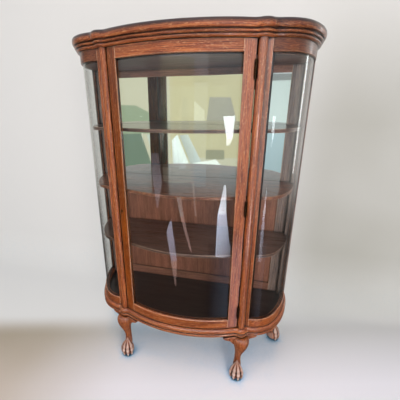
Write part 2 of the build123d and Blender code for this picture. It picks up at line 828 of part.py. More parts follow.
def strike_blank():
    """Outline of the strike plate before its hole."""
    return block(-post_inner_x - 1.2, -post_inner_x, lock_y - 2 - bolt_size[1] / 2, lock_y + 8,
                 lock_z - 20, lock_z + 20)


def make_lock():
    """Case, sliding bolt, strike plate and key hole plate."""
    length, thick, tall = lock_case_size
    bolt_length, bolt_thick, bolt_tall = bolt_size
    case = block(-door_half, -door_half + length, lock_y - thick / 2, lock_y + thick / 2,
                 lock_z - tall / 2, lock_z + tall / 2)
    play = slide_clearance
    case -= block(-door_half, -door_half + bolt_length + play, lock_y - bolt_thick / 2 - play,
                  lock_y + bolt_thick / 2 + play, lock_z - bolt_tall / 2 - play,
                  lock_z + bolt_tall / 2 + play)
    case -= key_hole() & block(-deep, deep, -deep, lock_y, 0, deep)
    write("lock_case", case)
    write("lock_bolt", block(-door_half, -door_half + bolt_length, lock_y - bolt_thick / 2,
                             lock_y + bolt_thick / 2, lock_z - bolt_tall / 2,
                             lock_z + bolt_tall / 2))
    plate = strike_blank()
    plate -= block(-post_inner_x - 5, -post_inner_x + 5, lock_y - bolt_thick / 2 - play,
                   lock_y + bolt_thick / 2 + play, lock_z - bolt_tall / 2 - play,
                   lock_z + bolt_tall / 2 + play)
    write("strike_plate", plate)
    tangent = math.degrees(math.asin(key_x / bow_radius))
    shield = extrude(Plane.XZ * Ellipse(*shield_halves), 0.8)
    shield = Pos(key_x, bow_y(key_x) - fit / 3, lock_z - 2) * Rot(0, 0, tangent) * shield
    write("keyhole_escutcheon", shield - key_hole())


# ---- Build everything

os.makedirs("parts", exist_ok=True)
make_cornice()
make_base()
make_posts()
make_sides()
make_back()
make_inside()
make_legs()
make_door()
make_hinges()
make_lock()
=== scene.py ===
import math

import bmesh
import bpy
from mathutils import Matrix, Vector


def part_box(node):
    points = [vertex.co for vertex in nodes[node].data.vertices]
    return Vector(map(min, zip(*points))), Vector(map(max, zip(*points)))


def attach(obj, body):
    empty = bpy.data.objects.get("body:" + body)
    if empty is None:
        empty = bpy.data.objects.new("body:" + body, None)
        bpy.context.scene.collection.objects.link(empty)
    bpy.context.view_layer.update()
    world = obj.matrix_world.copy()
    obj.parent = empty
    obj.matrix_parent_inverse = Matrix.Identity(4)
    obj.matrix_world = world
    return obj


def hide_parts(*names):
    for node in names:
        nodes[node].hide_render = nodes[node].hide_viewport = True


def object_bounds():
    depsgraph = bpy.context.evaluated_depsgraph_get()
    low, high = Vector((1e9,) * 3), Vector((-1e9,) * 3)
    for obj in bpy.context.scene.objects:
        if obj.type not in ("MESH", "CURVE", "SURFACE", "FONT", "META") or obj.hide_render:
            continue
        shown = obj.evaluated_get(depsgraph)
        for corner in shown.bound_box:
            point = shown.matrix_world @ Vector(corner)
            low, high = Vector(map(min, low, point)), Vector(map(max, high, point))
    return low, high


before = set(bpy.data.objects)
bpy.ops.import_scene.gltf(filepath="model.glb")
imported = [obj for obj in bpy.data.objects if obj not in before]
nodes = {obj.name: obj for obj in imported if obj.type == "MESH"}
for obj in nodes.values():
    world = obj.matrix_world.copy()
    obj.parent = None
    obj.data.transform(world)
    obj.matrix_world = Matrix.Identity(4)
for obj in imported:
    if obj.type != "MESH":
        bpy.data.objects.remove(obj)        # bodies, nodes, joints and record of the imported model
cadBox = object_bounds()
scene = bpy.context.scene
mm = 0.001
print("frame loaded:", len(nodes), "nodes")


# view and room

viewPoint = {
    # metres, radians, and the lens in pixels of the image
    "place": (0.28628, -1.19046, 1.30318),
    "yaw": 0.24972,            # turned to the left
    "pitch": -0.32806,
    "roll": -0.00688,
    "focalPixels": 271.94,
    "imagePixels": 400,
    "shiftX": 0.04624,
    "shiftY": -0.00278,
}


def axes(x, y, z, at):
    return Matrix.Translation(at) @ Matrix((x, y, z)).transposed().to_4x4()


def makeCamera():
    look = viewPoint
    yaw, pitch, roll = look["yaw"], look["pitch"], look["roll"]
    forward = Vector((-math.sin(yaw) * math.cos(pitch), math.cos(yaw) * math.cos(pitch), math.sin(pitch)))
    level = Vector((math.cos(yaw), math.sin(yaw), 0))
    above = level.cross(forward)
    right = level * math.cos(roll) + above * math.sin(roll)
    up = above * math.cos(roll) - level * math.sin(roll)
    data = bpy.data.cameras.new("camera")
    data.sensor_width = 36
    data.lens = look["focalPixels"] / look["imagePixels"] * data.sensor_width
    data.shift_x, data.shift_y = look["shiftX"], look["shiftY"]
    data.clip_start = 0.02
    camera = bpy.data.objects.new("camera", data)
    scene.collection.objects.link(camera)
    camera.matrix_world = axes(right, up, -forward, Vector(look["place"]))
    scene.camera = camera


def linear(code):
    # sRGB hex to the linear colour that the sockets take
    values = [int(code[at:at + 2], 16) / 255 for at in (1, 3, 5)]
    return [v / 12.92 if v <= 0.04045 else ((v + 0.055) / 1.055) ** 2.4 for v in values] + [1.0]


def addNode(tree, kind, sockets=None, **settings):
    # a node with its settings, and its sockets given a value or a link
    made = tree.nodes.new(kind)
    for key, value in settings.items():
        setattr(made, key, value)
    for key, value in (sockets or {}).items():
        if isinstance(value, bpy.types.NodeSocket):
            tree.links.new(value, made.inputs[key])
        else:
            made.inputs[key].default_value = value
    return made


def addObject(name, mesh):
    data = bpy.data.meshes.new(name)
    mesh.to_mesh(data)
    mesh.free()
    made = bpy.data.objects.new(name, data)
    scene.collection.objects.link(made)
    return made


def newMaterial(name):
    made = bpy.data.materials.new(name)
    made.use_nodes = True
    made.node_tree.nodes.clear()
    return made, made.node_tree


makeCamera()


room = {
    "floorColor": "#d9d8dd", "wallColor": "#d6d3ce",       # what light bounces off
    "wallBehind": 0.45,       # metres from the back of the cabinet
    "coveRadius": 0.25, "coveSteps": 12,
    "reach": 6.0, "wallTop": 4.0,
    "behindDrop": 0.001,      # how much lower the floor behind the wall lies
    "floorLit": "#eee2e1", "floorLift": "#455f77",         # what the lamps light, and what stays in the shade
    "wallLit": "#aea9a5", "wallLift": "#a2a5a8",
    # painted falloff of light on the cove
    "floorLeft": "#cfc2ab", "wallRight": "#cdccc4", "floorBack": "#dfdfd6",
    "turnsAlong": (-0.247, 0.969, 1.0), "turnsAt": (0.06, 0.24),     # where floor colour becomes wall colour
    # painted shade under the cabinet, found by how open the floor is
    "shadeReach": 0.32,
    "shadeRim": "#a4dcff", "rimFrom": (0.76, 0.5),       # openness at which it starts and is full
    "shadeDeep": "#7f8482", "deepFrom": (0.56, 0.4),
    "patchSize": 909,         # millimetres
    "lightPasses": 0.21,      # metres behind the cabinet where the wall starts to let daylight through
}


def roomMaterial():
    # matt emulsion paint on a coved studio wall, without gloss; its colour holds painted falloff of light and
    # painted shade under the cabinet
    paint, tree = newMaterial("matt_emulsion_paint")
    place = addNode(tree, "ShaderNodeTexCoord").outputs["Object"]
    x, y, z = addNode(tree, "ShaderNodeSeparateXYZ", {0: place}).outputs
    back = addNode(tree, "ShaderNodeVectorMath", {0: place, 1: room["turnsAlong"]},
                   operation="DOT_PRODUCT").outputs["Value"]
    mottle = addNode(tree, "ShaderNodeTexNoise", {
        "Vector": place, "Scale": 1 / (room["patchSize"] * mm), "Detail": 2.0}).outputs[0]
    openness = addNode(tree, "ShaderNodeAmbientOcclusion", {"Distance": room["shadeReach"]},
                       samples=8).outputs["AO"]
    spans = {
        # what is measured, where its mask starts and is full, and the mask's least value
        "wall": (back, *room["turnsAt"], 0.0, "SMOOTHSTEP"),
        "left": (x, -0.2, -0.9, 0.0, "SMOOTHSTEP"),
        "right": (x, 0.35, 0.8, 0.0, "SMOOTHSTEP"),
        "patches": (mottle, 0.3, 0.6, 0.7, "LINEAR"),
        "belowHead": (z, 1.8, 1.2, 0.25, "LINEAR"),
        "aboveFloor": (z, 0.0, 0.35, 0.45, "LINEAR"),
        "back": (back, -0.25, 0.12, 0.0, "LINEAR"),
        "rim": (openness, *room["rimFrom"], 0.0, "LINEAR"),
        "deep": (openness, *room["deepFrom"], 0.0, "LINEAR"),
    }
    masks = {name: addNode(tree, "ShaderNodeMapRange", {0: value, 1: low, 2: high, 3: least},
                           interpolation_type=kind).outputs[0]
             for name, (value, low, high, least, kind) in spans.items()}
    masks["floor"] = addNode(tree, "ShaderNodeMath", {0: 1.0, 1: masks["wall"]},
                             operation="SUBTRACT").outputs[0]
    masks["inFront"] = addNode(tree, "ShaderNodeMath", {0: z, 1: -room["behindDrop"] / 2},
                               operation="GREATER_THAN").outputs[0]
    tints = (
        # painted falloff of light: the lit cove darkens to the left of the floor, to the right of the wall
        # and up the floor's back
        (("left", "patches", "floor"), room["floorLeft"]),
        (("right", "patches", "wall", "belowHead", "aboveFloor"), room["wallRight"]),
        (("back", "floor"), room["floorBack"]),
        # painted shade under the cabinet, but not on the floor behind the wall
        (("rim", "inFront"), room["shadeRim"]),
        (("deep", "inFront"), room["shadeDeep"]),
    )

    def painted(floorCode, wallCode, darkened):
        color = addNode(tree, "ShaderNodeMix", {0: masks["wall"], 6: linear(floorCode),
                                                7: linear(wallCode)}, data_type="RGBA").outputs[2]
        for (first, *others), code in darkened:
            share = masks[first]
            for other in others:
                share = addNode(tree, "ShaderNodeMath", {0: share, 1: masks[other]},
                                operation="MULTIPLY").outputs[0]
            color = addNode(tree, "ShaderNodeMix", {0: share, 6: color, 7: linear(code)},
                            data_type="RGBA", blend_type="MULTIPLY").outputs[2]
        return color

    plain = addNode(tree, "ShaderNodeBsdfDiffuse", {
        "Color": painted(room["floorColor"], room["wallColor"], ())})
    lit = addNode(tree, "ShaderNodeBsdfDiffuse", {
        "Color": painted(room["floorLit"], room["wallLit"], tints)})
    lift = addNode(tree, "ShaderNodeEmission", {
        "Color": painted(room["floorLift"], room["wallLift"], tints), "Strength": 1.0})
    seen = addNode(tree, "ShaderNodeAddShader", {0: lit.outputs[0], 1: lift.outputs[0]})
    path = addNode(tree, "ShaderNodeLightPath").outputs
    direct = path["Is Camera Ray"]
    for other in ("Is Glossy Ray", "Is Transmission Ray"):
        direct = addNode(tree, "ShaderNodeMath", {0: direct, 1: path[other]}, operation="MAXIMUM").outputs[0]
    front = addNode(tree, "ShaderNodeMixShader", {0: direct, 1: plain.outputs[0], 2: seen.outputs[0]})

    # the wall is seen from its front only, and lets daylight through to the back of the cabinet
    behind = addNode(tree, "ShaderNodeNewGeometry").outputs["Backfacing"]
    onWall = addNode(tree, "ShaderNodeMath", {0: y, 1: cadBox[1][1] + room["lightPasses"]},
                     operation="GREATER_THAN")
    soft = addNode(tree, "ShaderNodeMath", {0: path["Is Diffuse Ray"], 1: path["Is Shadow Ray"]},
                   operation="MAXIMUM")
    light = addNode(tree, "ShaderNodeMath", {0: onWall.outputs[0], 1: soft.outputs[0]}, operation="MULTIPLY")
    passing = addNode(tree, "ShaderNodeMath", {0: light.outputs[0], 1: behind}, operation="MAXIMUM")
    clear = addNode(tree, "ShaderNodeBsdfTransparent")
    surface = addNode(tree, "ShaderNodeMixShader", {
        0: passing.outputs[0], 1: front.outputs[0], 2: clear.outputs[0]})
    addNode(tree, "ShaderNodeOutputMaterial", {"Surface": surface.outputs[0]})
    return paint


def makeRoom():
    reach, radius = room["reach"], room["coveRadius"]
    wallY = cadBox[1][1] + room["wallBehind"]
    coveY = wallY - radius
    mesh = bmesh.new()
    points = [(-reach, -reach, 0), (-reach, coveY, 0)]
    for step in range(1, room["coveSteps"] + 1):
        angle = math.pi / 2 * step / room["coveSteps"]
        points.append((-reach, coveY + radius * math.sin(angle), radius - radius * math.cos(angle)))
    points.append((-reach, wallY, room["wallTop"]))
    line = [mesh.verts.new(point) for point in points]
    edges = [mesh.edges.new(pair) for pair in zip(line, line[1:])]
    moved = bmesh.ops.extrude_edge_only(mesh, edges=edges)
    verts = [item for item in moved["geom"] if isinstance(item, bmesh.types.BMVert)]
    bmesh.ops.translate(mesh, verts=verts, vec=(2 * reach, 0, 0))
    bmesh.ops.recalc_face_normals(mesh, faces=mesh.faces[:])
    mesh.normal_update()
    if max(mesh.faces, key=lambda face: abs(face.normal.z)).normal.z < 0:
        bmesh.ops.reverse_faces(mesh, faces=mesh.faces[:])
    # the floor goes on behind the wall, which is clear from there
    corners = ((-reach, coveY), (reach, coveY), (reach, reach), (-reach, reach))
    mesh.faces.new([mesh.verts.new((x, y, -room["behindDrop"])) for x, y in corners])
    for face in mesh.faces:
        face.smooth = True
    cove = addObject("room", mesh)
    cove.visible_glossy = False        # gloss shows the cards and the world's own colours instead
    cove.data.materials.append(roomMaterial())


makeRoom()

# what gloss, glass and mirror reflect: windows, curtains and doors of an ordinary room, each a bright
# card far away, given by turn from straight ahead (to +X), rise above level, both in degrees, and glow
roomCards = {
    "overhead": ("#f0eef6", 4.5,
        ((-25, 38, 1), (35, 38, 1), (35, 66, 1), (-25, 66, 1))),
    "veilLeft": ("#a9adb0", 1.6,
        ((-75, 16, 1), (-27, 16, 1), (-27, -6, 0.4), (-75, -6, 0.2))),
    "veilMiddle": ("#b2b6be", 2.2,
        ((-27, 16, 1), (12, 16, 1), (12, 5.6, 1), (-27, 5.6, 1))),
    "veilRight": ("#a9b0b8", 1.7,
        ((12, 16, 1), (40, 16, 1), (40, -8, 0.7), (12, -8, 0.4))),
    "paleSide": ("#c9c2c2", 1.7,
        ((40, 20, 1), (80, 20, 1), (80, -30, 0.1), (40, -30, 0.1))),
    "warmVeil": ("#b39c98", 1.1,
        ((-4, -12, 0.2), (24, -12, 0.8), (24, -30, 0.8), (-4, -30, 0.1))),
    "coolFloor": ("#8f9fb8", 1.7,
        ((16, -28, 0), (50, -26, 1), (50, -46, 0.9), (16, -46, 0))),
    "paleWall": ("#cbc8b4", 1.4,
        ((-27, 9, 1), (1, 9, 1), (1, -15, 1), (-27, -15, 1))),
    "greenHill": ("#a6b59c", 1.15,
        ((-27, 0.6, 1), (-23.5, 0.5, 1), (-19, -1.8, 1), (-19, -5, 1), (-27, -5, 1))),
    "greenCurtain": ("#84998a", 1.0,
        ((-27, -5, 1), (-22.7, -5, 1), (-20.6, -12, 1), (-27, -12, 1))),
    "leftPost": ("#b9c4bd", 1.6,
        ((-21.6, -5.2, 1), (-19.6, -5.2, 1), (-18.6, -10, 0.8), (-20.4, -10, 0.8))),
    "yellowWall": ("#cfc8a6", 1.3,
        ((-16.6, 6, 1), (1, 6, 1), (1, -10, 1), (-16.6, -10, 1))),
    "greyPassage": ("#b0ada2", 1.25,
        ((-8.6, 2.1, 1), (-4.4, 2.0, 1), (-2.2, -5, 1), (-9.4, -5, 1))),
    "doorFrame": ("#dcd8bc", 1.4,
        ((-11.7, 1.4, 1), (-9.6, -0.4, 1), (-9.4, -4.8, 1), (-11.7, -4.8, 1))),
    "greyCabinet": ("#9c9c84", 1.3,
        ((-9.1, -8.4, 1), (-5.2, -8.4, 1), (-5.1, -10.4, 1), (-9.1, -10.4, 1))),
    "curtainLeft": ("#dfeaec", 1.7,
        ((-16.4, -6.4, 1), (-15.2, -5.2, 1), (-12.6, -11.8, 1), (-16.2, -11.8, 0.7))),
    "curtainRight": ("#cfdada", 1.4,
        ((-14.8, -5.4, 0.7), (-13.0, -5.2, 1), (-9.6, -11.8, 1), (-12.2, -11.8, 0.7))),
    "tableTop": ("#e8f0ee", 1.7,
        ((-11.8, -11.2, 1), (-6.9, -10.4, 1), (-5.2, -12.2, 1), (-12.6, -12.3, 1))),
    "blueWindow": ("#bcc8cc", 1.6,
        ((1, 5, 1), (12, 5, 1), (12, -3, 1.1), (1, -3, 1.1))),
    "blueCurtain": ("#a8bcc8", 1.45,
        ((1, -3, 1.1), (12, -3, 1.1), (12, -16, 0.8), (1, -16, 0.8))),
    "window": ("#f2f8ff", 11.0,
        ((25.3, -1.4, 1), (35.2, -1.4, 1), (34.2, -5.7, 1), (29.0, -5.8, 1))),
    "windowFoot": ("#eef6ff", 9.0,
        ((29.0, -5.8, 1), (34.1, -5.7, 1), (32.3, -7.1, 0.5), (28.9, -7.3, 0.7))),
    "whiteCurtain": ("#e6ebf6", 13.0,
        ((28.8, -15.5, 0.5), (30.4, -15.5, 0.6), (32.0, -21.7, 0.8), (24.0, -21.8, 1))),
    "curtainFade": ("#ccd4ea", 11.0,
        ((24.0, -21.8, 1), (32.0, -21.7, 0.8), (38.5, -30.4, 0.12), (23.2, -30.7, 0.5))),
    "foldTop": ("#c4c4dc", 5.0,
        ((-20.3, -22.9, 1), (-18.2, -26.5, 1), (-25.2, -25.7, 1))),
    "foldMid": ("#c4c2da", 4.8,
        ((-25.2, -25.7, 1), (-18.2, -26.5, 1), (-15.0, -31.9, 0.6), (-21.3, -31.8, 0.7))),
    "foldTip": ("#d3aea6", 3.6,
        ((-21.3, -31.8, 1), (-15.0, -31.9, 0.8), (-16.3, -36.9, 0.6), (-17.5, -36.9, 0.6))),
    "slipTop": ("#b9b9b8", 4.0,
        ((-14.6, -18.2, 0.8), (-10.4, -18.2, 0.5), (-7.7, -22.4, 0.7), (-11.2, -22.4, 1))),
    "slipLow": ("#cda9a2", 4.0,
        ((-11.2, -22.4, 1), (-7.7, -22.4, 0.8), (0.3, -30.2, 0.9), (-1.9, -29.8, 0.9))),
    "thinLine": ("#c9b8b0", 2.6,
        ((-2.2, -10.7, 0.4), (0.4, -10.7, 0.4), (4.4, -22.2, 1), (2.7, -22.2, 1))),
    "paleFold": ("#b6b3bd", 3.2,
        ((-38.4, -8.5, 0.5), (-31.1, -8.5, 0.5), (-28.2, -14.8, 0.9), (-37.1, -14.7, 1))),
    "paleTip": ("#b6b3bd", 3.2,
        ((-37.1, -14.7, 1), (-28.2, -14.8, 0.9), (-33.1, -20.4, 0.6), (-34.7, -20.4, 0.6))),
    "farWindow": ("#eef4f4", 6.0,
        ((129, 14, 1), (132.5, 14, 1), (131.5, -12, 0.9), (129.5, -12, 0.9))),
}


# metres: each card stands a little nearer than the one before, so that a later card hides the earlier ones
cardStand = {"first": 150.0, "step": 0.94, "level": 0.9}


def cardMaterial(name, code, strength):
    # daylight on cloth and paint, seen only as a reflection
    made, tree = newMaterial(name)
    glow = addNode(tree, "ShaderNodeAttribute", attribute_name="glow")
    level = addNode(tree, "ShaderNodeMath", {0: glow.outputs["Fac"], 1: strength}, operation="MULTIPLY")
    surface = addNode(tree, "ShaderNodeEmission", {
        "Color": linear(code), "Strength": level.outputs[0]})
    addNode(tree, "ShaderNodeOutputMaterial", {"Surface": surface.outputs[0]})
    return made


def makeCards():
    away = cardStand["first"]
    for name, (code, strength, corners) in roomCards.items():
        away *= cardStand["step"]
        mesh = bmesh.new()
        glow = mesh.verts.layers.float.new("glow")
        verts = []
        for turn, rise, level in corners:
            turn, rise = math.radians(turn), math.radians(rise)
            flat = away * math.cos(rise)
            vert = mesh.verts.new((flat * math.sin(turn), -flat * math.cos(turn),
                                   cardStand["level"] + away * math.sin(rise)))
            vert[glow] = level
            verts.append(vert)
        mesh.faces.new(verts)
        card = addObject(name, mesh)
        card.data.materials.append(cardMaterial(name, code, strength))
        card.visible_camera = card.visible_diffuse = card.visible_shadow = card.visible_transmission = False


lamps = {
    # name: (place, looks at, width, height, watts, colour)
    "rightWindow": ((1.3, -2.6, 1.3), (0, 0, 0.7), 1.2, 1.5, 62, "#fffdfa"),
    "leftWindow": ((-2.2, -2.1, 1.7), (0, 0, 0.9), 1.2, 1.6, 18, "#fff6ea"),
    "backFill": ((-0.4, 3.2, 2.0), (0, 0.2, 0.9), 2.0, 1.6, 14, "#f6f8ff"),
    "ceilingGlow": ((0, -1.3, 3.4), (0, 0, 0.4), 2.6, 2.0, 35, "#fffaf4"),
}


def makeLamps():
    for name, (place, target, width, height, watts, color) in lamps.items():
        data = bpy.data.lights.new(name, "AREA")
        data.shape = "RECTANGLE"
        data.size, data.size_y = width, height
        data.energy = watts
        data.color = linear(color)[:3]
        lamp = bpy.data.objects.new(name, data)
        lamp.location = place
        lamp.rotation_euler = (Vector(target) - Vector(place)).to_track_quat("-Z", "Y").to_euler()
        lamp.visible_glossy = False      # the cards are what gloss shows
        scene.collection.objects.link(lamp)


surroundings = {
    "daylight": "#d8dad6", "daylightStrength": 0.38,
    # what gloss shows where no card stands, seen from the cabinet's front
    "left": "#7d7a70", "right": "#b4bcc6",
    "above": "#e2e2ea", "below": "#3f3c3a", "behind": "#d5d2cd",
    # part of the direction looked at, where the change starts and is full, and the colour that it brings
    "turns": (("X", -0.7, 0.7, "right"), ("Z", 0.1, 0.5, "above"), ("Y", 0.1, 0.4, "behind"),
              ("Z", -0.12, -0.42, "below")),
}


def makeWorld():
    world = bpy.data.worlds.new("softDaylight")
    world.use_nodes = True
    world.node_tree.nodes.clear()
    tree = world.node_tree
    way = addNode(tree, "ShaderNodeTexCoord").outputs["Generated"]
    aim = addNode(tree, "ShaderNodeSeparateXYZ", {0: way}).outputs
    color = linear(surroundings["left"])
    for axis, low, high, side in surroundings["turns"]:
        share = addNode(tree, "ShaderNodeMapRange", {0: aim[axis], 1: low, 2: high},
                        interpolation_type="SMOOTHSTEP")
        color = addNode(tree, "ShaderNodeMix", {0: share.outputs[0], 6: color,
                                                7: linear(surroundings[side])}, data_type="RGBA").outputs[2]
    plain = addNode(tree, "ShaderNodeBackground", {"Color": linear(surroundings["daylight"]),
                                                   "Strength": surroundings["daylightStrength"]})
    reflected = addNode(tree, "ShaderNodeBackground", {"Color": color, "Strength": 1.0})
    path = addNode(tree, "ShaderNodeLightPath")
    mix = addNode(tree, "ShaderNodeMixShader", {0: path.outputs["Is Glossy Ray"], 1: plain.outputs[0],
                                                2: reflected.outputs[0]})
    addNode(tree, "ShaderNodeOutputWorld", {"Surface": mix.outputs[0]})
    scene.world = world


makeLamps()
makeCards()
makeWorld()
scene.view_settings.view_transform = "Standard"
print("camera, room and lamps set")


# quartered white oak, stained red brown and varnished: long dark growth lines, open pores along the grain,
# pale ray flecks on the quartered faces, gloss with the edges rubbed pale and given a painted highlight, and
# old wax and painted shade dark in the corners
oak = {
    "dark": "#5c2611", "mid": "#924821", "pale": "#b0642f", "ringSpread": 0.22,
    # the pale of rubbed edges and of the carving's proud parts carries a painted highlight; the darkest
    # colour carries painted shade as well as grime
    "fleck": "#c48a5e", "pore": "#3a170c", "rubbedAndHighlight": "#e2b896", "grimeAndShade": "#120705", "wearAndHighlight": "#d8c2b9",
    # millimetres along the grain, across it and out of the face
    "ringSize": (90, 3.2, 6.4),
    "broadSize": (240, 34, 48),
    "poreSize": (10, 1.3, 1.3),
    "fleckSize": (13, 3.6, 30),
    # how much of the noise shows, and how strongly
    "fleckFrom": (0.56, 0.68), "fleckShare": 0.5,
    "poreFrom": (0.58, 0.70), "poreShare": 0.6, "poreBump": 0.12, "poreDepth": 0.0003,
    "broadFrom": (0.3, 0.7), "broadValue": (0.72, 1.25),
    # edges, worn pale with a painted highlight: how far the normal turns, how open the place is, which
    # patches, and the least in between them
    "edgeFrom": (0.985, 0.88), "edgeOpen": (0.72, 0.9), "edgePatches": (0.35, 0.6),
    "narrowLeast": 0.35, "wideLeast": 0.75, "wideFrom": 0.003,
    # corners, dark with old wax and painted shade: metres looked at, and the openness at which the dark
    # starts and is full
    "cornerDepth": 0.011, "cornerFrom": (0.93, 0.45), "lipShare": 0.9,
    "glossSpread": 0.05,
    # coat weight and index of the varnish, rubbed thin or lying thick
    "thinVarnish": (0.6, 1.5), "thickVarnish": (1.0, 2.0),
}

# metres, the plan's middle points of the bent fronts and sides
bowCentre = (0.0, 0.5035)
sideCentre = (0.116, 0.1885)


def grainCoordinates(tree, direction):
    # millimetres along the grain, across it and out of the surface
    place = addNode(tree, "ShaderNodeTexCoord").outputs["Object"]
    x, y, z = addNode(tree, "ShaderNodeSeparateXYZ", {0: place}).outputs
    straight = {"up": (z, x, y), "across": (x, z, y), "flat": (x, y, z)}
    if direction in straight:
        order = straight[direction]
    else:
        centreX, centreY = bowCentre if direction == "bow" else sideCentre
        if direction == "leftSide":
            centreX = -centreX
        aside = addNode(tree, "ShaderNodeMath", {0: x, 1: centreX}, operation="SUBTRACT").outputs[0]
        ahead = addNode(tree, "ShaderNodeMath", {0: centreY, 1: y}, operation="SUBTRACT").outputs[0]
        angle = addNode(tree, "ShaderNodeMath", {0: aside, 1: ahead}, operation="ARCTAN2").outputs[0]
        # half a metre of grain to each radian, about the radius of the bends
        along = addNode(tree, "ShaderNodeMath", {0: angle, 1: 0.5}, operation="MULTIPLY").outputs[0]
        plan = addNode(tree, "ShaderNodeCombineXYZ", {0: aside, 1: ahead}).outputs[0]
        away = addNode(tree, "ShaderNodeVectorMath", {0: plan}, operation="LENGTH").outputs["Value"]
        order = (along, z, away)
    joined = addNode(tree, "ShaderNodeCombineXYZ", dict(enumerate(order)))
    return addNode(tree, "ShaderNodeVectorMath", {0: joined.outputs[0], "Scale": 1 / mm},
                   operation="SCALE").outputs[0]


def oakMaterial(name, direction, tone=1.0, gloss=0.34, rubbedAndHighlight=0.9, grimeAndShade=0.97, coat=0.14, lip=None,
                contrast=1.0, depth=1.0, edgeWidth=0.0028, varnish="thinVarnish"):
    made, tree = newMaterial(name)
    grain = grainCoordinates(tree, direction)

    def figure(size, detail=2.0, rough=0.55, offset=0.0, twist=0.0):
        scaled = addNode(tree, "ShaderNodeMapping", {"Vector": grain, "Scale": [1 / part for part in size],
                                                     "Location": (offset, offset, offset)})
        return addNode(tree, "ShaderNodeTexNoise", {
            "Vector": scaled.outputs[0], "Scale": 1.0, "Detail": detail, "Roughness": rough,
            "Distortion": twist}).outputs[0]

    rings = figure(oak["ringSize"], detail=3.0)
    broad = figure(oak["broadSize"], offset=7.0)
    pores = figure(oak["poreSize"], offset=3.0)
    flecks = figure(oak["fleckSize"], rough=0.6, offset=11.0, twist=0.6)
    ramp = addNode(tree, "ShaderNodeValToRGB", {0: rings})
    stops = ramp.color_ramp.elements
    spread = oak["ringSpread"] / contrast
    stops[0].position, stops[0].color = 0.5 - spread, linear(oak["dark"])
    stops[1].position, stops[1].color = 0.5 + spread, linear(oak["pale"])
    middle = stops.new(0.5)
    middle.color = linear(oak["mid"])
    darkest, palest = (tone * part for part in oak["broadValue"])
    low, high = oak["broadFrom"]
    value = addNode(tree, "ShaderNodeMapRange", {0: broad, 1: low, 2: high, 3: darkest, 4: palest})
    color = addNode(tree, "ShaderNodeHueSaturation", {
        "Value": value.outputs[0], "Color": ramp.outputs[0], "Saturation": depth}).outputs[0]

    corner = addNode(tree, "ShaderNodeAmbientOcclusion", {"Distance": oak["cornerDepth"]},
                     samples=6).outputs["AO"]
    rounded = addNode(tree, "ShaderNodeBevel", {"Radius": edgeWidth}, samples=6).outputs[0]
    flat = addNode(tree, "ShaderNodeNewGeometry").outputs["Normal"]
    turn = addNode(tree, "ShaderNodeVectorMath", {0: rounded, 1: flat},
                   operation="DOT_PRODUCT").outputs["Value"]
    least = oak["narrowLeast"] if edgeWidth < oak["wideFrom"] else oak["wideLeast"]
    low, high = oak["edgeFrom"]
    edge = addNode(tree, "ShaderNodeMapRange", {0: turn, 1: low, 2: high, 4: rubbedAndHighlight}).outputs[0]
    for measure, (low, high), start in ((corner, oak["edgeOpen"], 0.0), (broad, oak["edgePatches"], least)):
        part = addNode(tree, "ShaderNodeMapRange", {0: measure, 1: low, 2: high, 3: start})
        edge = addNode(tree, "ShaderNodeMath", {0: edge, 1: part.outputs[0]}, operation="MULTIPLY").outputs[0]
    wearAndHighlight, dirtAndShade = (addNode(tree, "ShaderNodeAttribute", attribute_name=word).outputs["Fac"]
                  for word in ("wearAndHighlight", "dirtAndShade"))
    layers = [
        # laid over one another: mask, where it starts and is full, how strongly, and the colour
        (flecks, *oak["fleckFrom"], oak["fleckShare"] * tone * contrast, "fleck"),
        (pores, *oak["poreFrom"], oak["poreShare"], "pore"),
        # edges worn pale, with a painted highlight
        (edge, 0.0, 1.0, 1.0, "rubbedAndHighlight"),
        # on the carving, the proud parts worn pale with a painted highlight and the sunk parts dark with dirt
        # and painted shade
        (wearAndHighlight, 0.0, 1.0, 1.0, "wearAndHighlight"),
        (dirtAndShade, 0.0, 1.0, 1.0, "grimeAndShade"),
        # old wax and painted shade in corners and between parts
        (corner, *oak["cornerFrom"], grimeAndShade, "grimeAndShade"),
    ]
    if lip:      # darker along the top edge
        place = addNode(tree, "ShaderNodeTexCoord").outputs["Object"]
        height = addNode(tree, "ShaderNodeSeparateXYZ", {0: place}).outputs["Z"]
        layers.append((height, *lip, oak["lipShare"], "grimeAndShade"))
    for mask, low, high, strength, shade in layers:
        share = addNode(tree, "ShaderNodeMapRange", {0: mask, 1: low, 2: high, 4: strength})
        color = addNode(tree, "ShaderNodeMix", {0: share.outputs[0], 6: color, 7: linear(oak[shade])},
                        data_type="RGBA").outputs[2]

    bump = addNode(tree, "ShaderNodeBump", {"Height": pores, "Strength": oak["poreBump"],
                                            "Distance": oak["poreDepth"], "Normal": rounded})
    duller, shinier = gloss + oak["glossSpread"], gloss - oak["glossSpread"]
    dullness = addNode(tree, "ShaderNodeMapRange", {0: rings, 1: 0.3, 2: 0.7, 3: duller, 4: shinier})
    coatWeight, coatIndex = oak[varnish]
    surface = addNode(tree, "ShaderNodeBsdfPrincipled", {
        "Base Color": color, "Roughness": dullness.outputs[0], "IOR": 1.5,
        "Coat Weight": coatWeight, "Coat IOR": coatIndex, "Coat Roughness": coat,
        "Specular IOR Level": 0.3, "Normal": bump.outputs[0]})
    addNode(tree, "ShaderNodeOutputMaterial", {"Surface": surface.outputs[0]})
    return made


# metres, the band along the cornice's top edge
lipBand = [cadBox[1][2] - drop for drop in (0.018, 0.008)]

